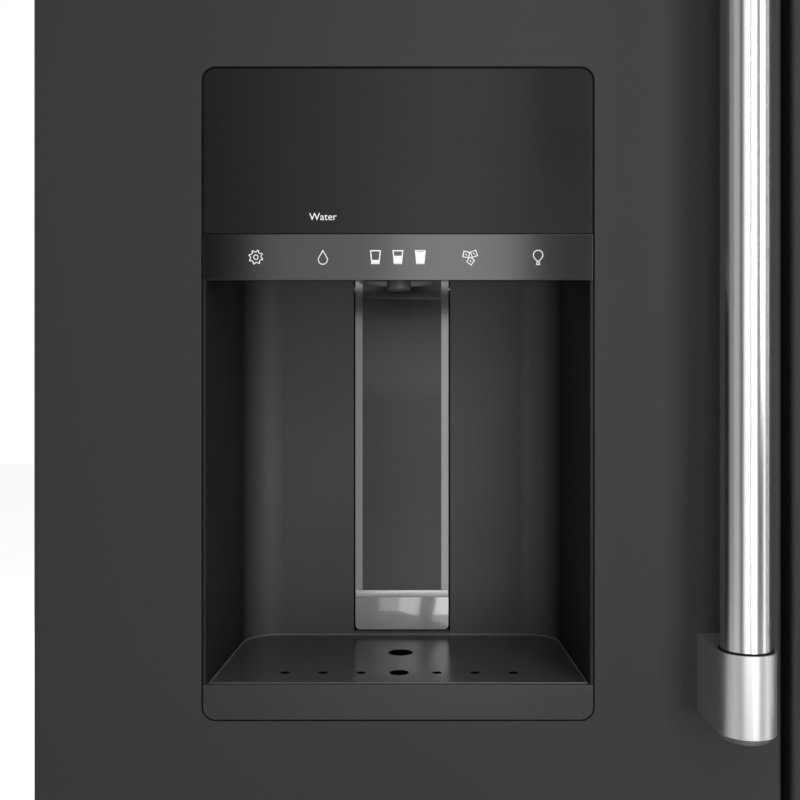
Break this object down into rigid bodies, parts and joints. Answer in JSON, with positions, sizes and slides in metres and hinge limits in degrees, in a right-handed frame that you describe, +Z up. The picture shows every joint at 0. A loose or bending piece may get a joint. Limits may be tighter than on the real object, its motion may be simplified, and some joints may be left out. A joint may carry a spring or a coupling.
{
  "type": "french door refrigerator",
  "caption": "Matte black french door refrigerator with a water and ice dispenser, tubular steel handles and a deep freezer drawer below.",
  "frame": {"origin": "on the floor, under the middle of the whole object, handles included", "axes": "+Z up, the doors face -Y, +X to the right as seen from the front"},
  "size_m": [0.908, 0.9234, 1.775],
  "materials": {
    "painted_door": "matte",
    "painted_case": "satin",
    "back_steel": "satin",
    "hinge_steel": "satin",
    "liner_plastic": "gloss",
    "foam": "matte",
    "gasket_rubber": "matte",
    "handle_steel": "satin",
    "cover_plastic": "matte",
    "dispenser_plastic": "satin",
    "fascia_plastic": "gloss",
    "touch_metal": "satin",
    "tray_plastic": "gloss",
    "paddle_metal": "satin",
    "smoked_window": "gloss",
    "spout_plastic": "gloss",
    "clear_bin": "gloss",
    "shelf_glass": "gloss",
    "shelf_trim": "satin",
    "basket_plastic": "satin",
    "rail_steel": "satin",
    "machine_steel": "satin",
    "coil_aluminium": "satin",
    "fan_plastic": "matte",
    "wheel_plastic": "matte"
  },
  "bodies": {
    "root": {"outer_case": "painted_case", "back_panel": "back_steel", "machine_cover": "back_steel", "base_frame": "painted_case", "fridge_liner": "liner_plastic", "freezer_liner": "liner_plastic", "case_foam": "foam", "toe_grille": "cover_plastic", "compressor": "machine_steel", "condenser": "coil_aluminium", "evaporator": "coil_aluminium", "evaporator_cover": "liner_plastic", "shelf_glass": "shelf_glass", "shelf_frames": "shelf_trim", "door_hinges": "hinge_steel", "hinge_covers": "cover_plastic", "freezer_slides": "cover_plastic"},
    "left_door": {"left_door_skin": "painted_door", "left_door_foam": "foam", "left_door_liner": "liner_plastic", "left_door_gasket": "gasket_rubber", "left_door_bins": "clear_bin", "left_handle_bar": "handle_steel", "left_handle_brackets": "handle_steel", "dispenser_housing": "dispenser_plastic", "dispenser_fascia": "fascia_plastic", "control_strip": "touch_metal", "ice_chute": "spout_plastic", "water_spout": "spout_plastic", "ice_maker": "shelf_trim", "ice_bucket": "clear_bin"},
    "right_door": {"right_door_skin": "painted_door", "right_door_foam": "foam", "right_door_liner": "liner_plastic", "right_door_gasket": "gasket_rubber", "right_door_bins": "clear_bin", "right_handle_bar": "handle_steel", "right_handle_brackets": "handle_steel"},
    "freezer_drawer": {"drawer_skin": "painted_door", "drawer_foam": "foam", "drawer_liner": "liner_plastic", "drawer_gasket": "gasket_rubber", "drawer_handle_bar": "handle_steel", "drawer_handle_brackets": "handle_steel", "drawer_rails": "rail_steel", "drawer_basket": "basket_plastic"},
    "upper_basket": {"upper_basket": "basket_plastic"},
    "left_crisper": {"left_crisper": "clear_bin"},
    "right_crisper": {"right_crisper": "clear_bin"},
    "paddle": {"paddle_plate": "paddle_metal", "paddle_window": "smoked_window"},
    "drip_tray": {"drip_tray": "tray_plastic", "drip_grille": "tray_plastic"},
    "ice_gate": {"chute_gate": "spout_plastic"},
    "mullion": {"mullion_flap": "cover_plastic"},
    "fan": {"evaporator_fan": "fan_plastic"},
    "left_foot": {"left_levelling_foot": "wheel_plastic"},
    "right_foot": {"right_levelling_foot": "wheel_plastic"},
    "left_roller": {"left_rear_roller": "wheel_plastic"},
    "right_roller": {"right_rear_roller": "wheel_plastic"}
  },
  "joints": [
    {"name": "left_door_hinge", "type": "hinge", "parent": "root", "child": "left_door", "pos_m": [-0.432, -0.36528, 1.2], "axis": [0, 0, -1], "range_deg": [0, 120]},
    {"name": "right_door_hinge", "type": "hinge", "parent": "root", "child": "right_door", "pos_m": [0.432, -0.36528, 1.2], "axis": [0, 0, 1], "range_deg": [0, 120]},
    {"name": "freezer_drawer_slide", "type": "slide", "parent": "root", "child": "freezer_drawer", "axis": [0, -1, 0], "range_m": [0, 0.4]},
    {"name": "upper_basket_slide", "type": "slide", "parent": "root", "child": "upper_basket", "axis": [0, -1, 0], "range_m": [0, 0.25]},
    {"name": "left_crisper_slide", "type": "slide", "parent": "root", "child": "left_crisper", "axis": [0, -1, 0], "range_m": [0, 0.17]},
    {"name": "right_crisper_slide", "type": "slide", "parent": "root", "child": "right_crisper", "axis": [0, -1, 0], "range_m": [0, 0.17]},
    {"name": "paddle_pivot", "type": "hinge", "parent": "left_door", "child": "paddle", "pos_m": [-0.2341, -0.26877, 1.0983], "axis": [1, 0, 0], "range_deg": [0, 2.5], "stiffness_Nm_per_rad": 0.5, "springref_deg": -5.73},
    {"name": "drip_tray_slide", "type": "slide", "parent": "left_door", "child": "drip_tray", "axis": [0, -1, 0], "range_m": [0, 0.11]},
    {"name": "ice_gate_pivot", "type": "hinge", "parent": "left_door", "child": "ice_gate", "pos_m": [-0.2341, -0.32927, 1.1803], "axis": [-1, 0, 0], "range_deg": [0, 45], "stiffness_Nm_per_rad": 0.02, "springref_deg": -22.92},
    {"name": "mullion_hinge", "type": "hinge", "parent": "left_door", "child": "mullion", "pos_m": [-0.037, -0.27927, 1.2], "axis": [0, 0, -1], "range_deg": [0, 90]},
    {"name": "evaporator_fan_spin", "type": "hinge", "parent": "root", "child": "fan", "pos_m": [0.335, 0.35973, 0.529], "axis": [0, 1, 0], "continuous": true},
    {"name": "left_foot_screw", "type": "hinge", "parent": "root", "child": "left_foot", "pos_m": [-0.396, -0.24827, 0.02], "axis": [0, 0, 1], "continuous": true},
    {"name": "right_foot_screw", "type": "hinge", "parent": "root", "child": "right_foot", "pos_m": [0.396, -0.24827, 0.02], "axis": [0, 0, 1], "continuous": true},
    {"name": "left_roller_spin", "type": "hinge", "parent": "root", "child": "left_roller", "pos_m": [-0.391, 0.39172, 0.02], "axis": [1, 0, 0], "continuous": true},
    {"name": "right_roller_spin", "type": "hinge", "parent": "root", "child": "right_roller", "pos_m": [0.391, 0.39172, 0.02], "axis": [1, 0, 0], "continuous": true}
  ],
  "couplings": [
    {"joint": "upper_basket_slide", "follows": "freezer_drawer_slide", "ratio": 0.6},
    {"joint": "left_crisper_slide", "follows": "left_door_hinge", "m_per_rad": 0.078},
    {"joint": "right_crisper_slide", "follows": "right_door_hinge", "m_per_rad": 0.078}
  ]
}
